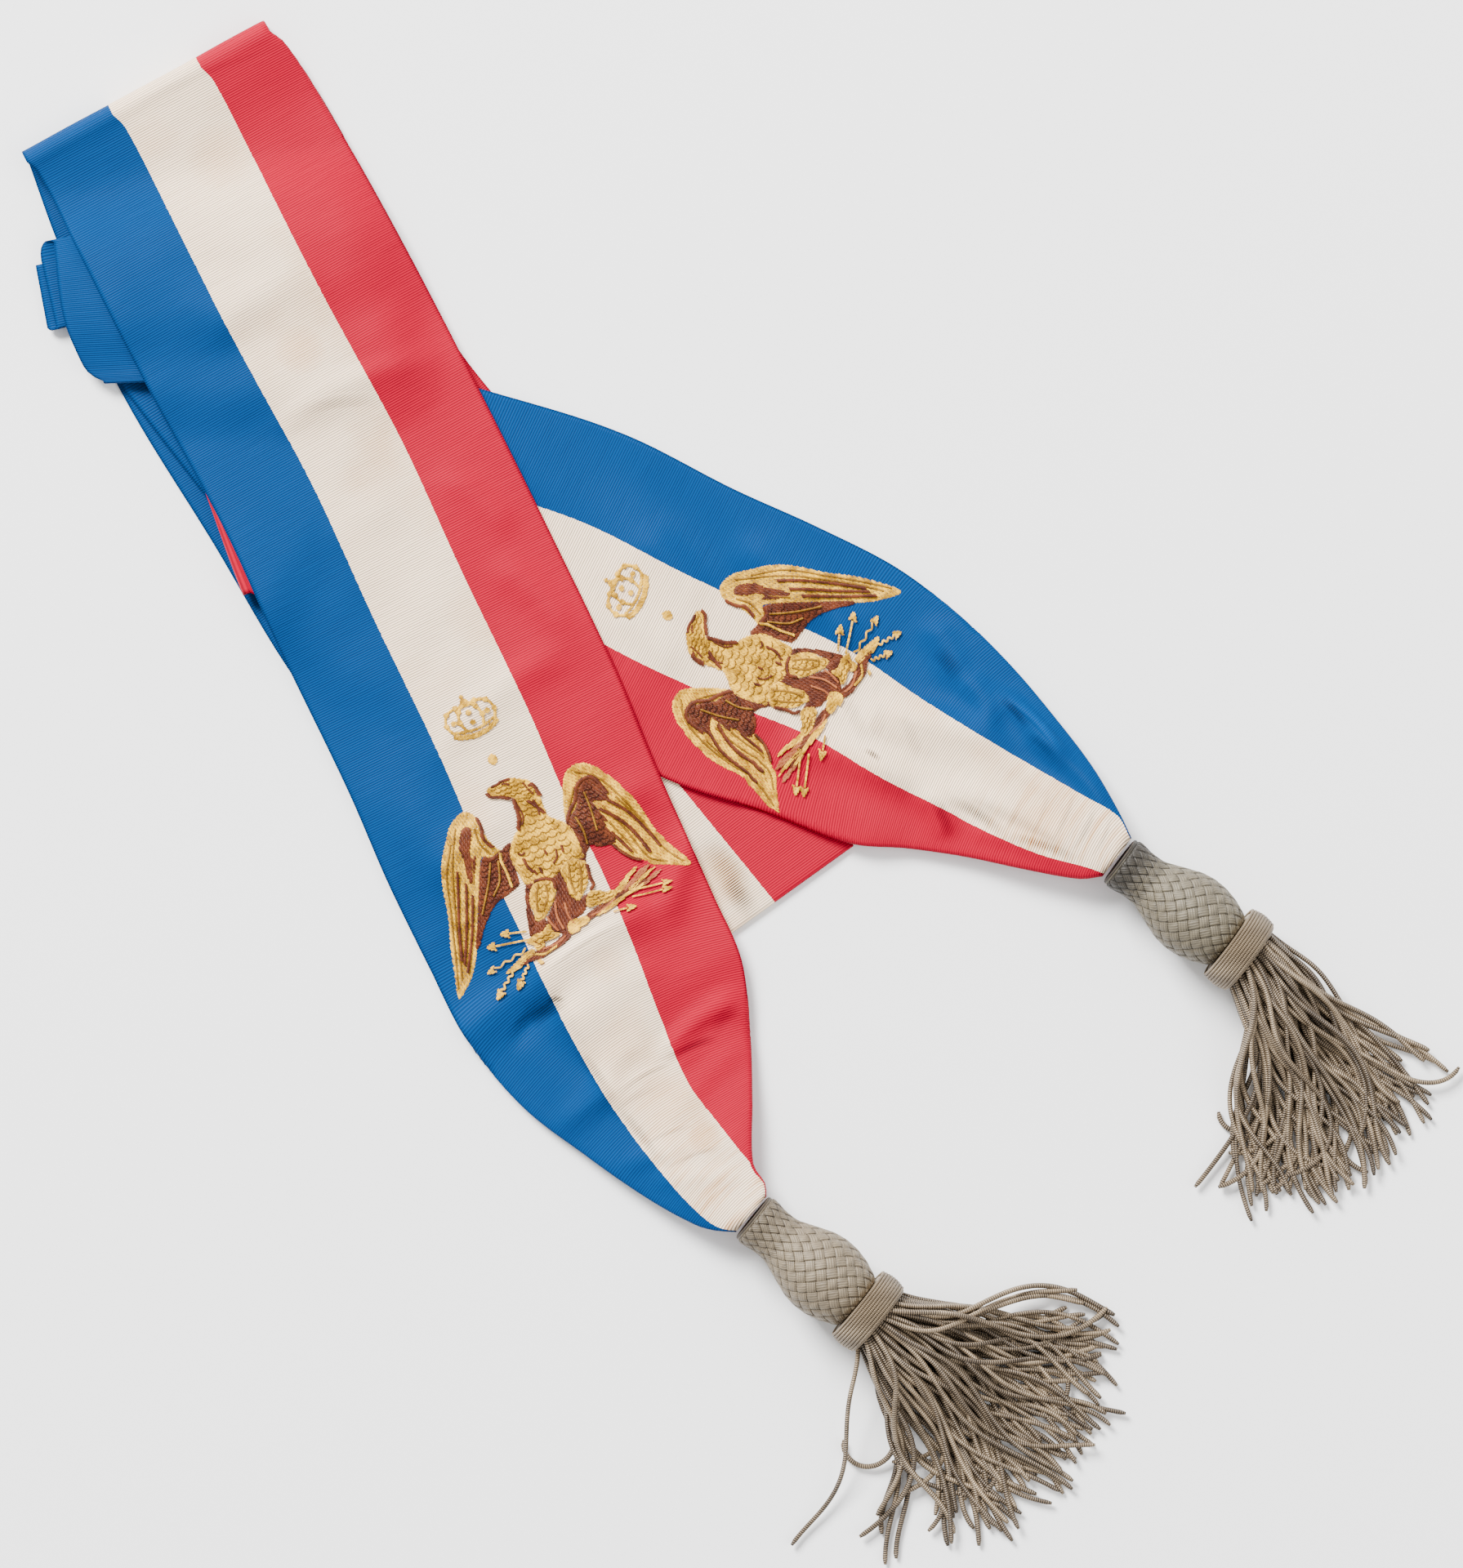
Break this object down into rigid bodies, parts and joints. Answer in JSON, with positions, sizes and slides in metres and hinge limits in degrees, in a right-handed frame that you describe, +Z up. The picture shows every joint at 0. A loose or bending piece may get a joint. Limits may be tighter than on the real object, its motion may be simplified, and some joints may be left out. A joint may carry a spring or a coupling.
{
  "type": "ceremonial sash",
  "caption": "Wide ribbed silk sash in blue, white and red stripes, laid down folded, with embroidered ends and a bullion tassel on each end",
  "frame": {"origin": "On the surface that the sash lies on, below the middle of its whole outline in plan", "axes": "+Z up from the surface. +Y along the sash's longer extent, towards the folded top end. +X towards the right tassel."},
  "size_m": [0.5396, 0.5804, 0.0331],
  "materials": {
    "silk": "ribbed silk ribbon in three stripes, blue, ivory white and red, soft sheen",
    "embroidery": "raised stitched gold and brown silk thread",
    "woven_thread": "basket-woven flat metallic thread, tarnished",
    "bullion": "twisted metallic bullion cord, tarnished silver gilt"
  },
  "bodies": {
    "root": {"sash_ribbon": "silk", "left_tassel_head": "woven_thread", "left_tassel_collar": "bullion", "left_tassel_fringe": "bullion", "right_tassel_head": "woven_thread", "right_tassel_collar": "bullion", "right_tassel_fringe": "bullion"}
  },
  "joints": []
}
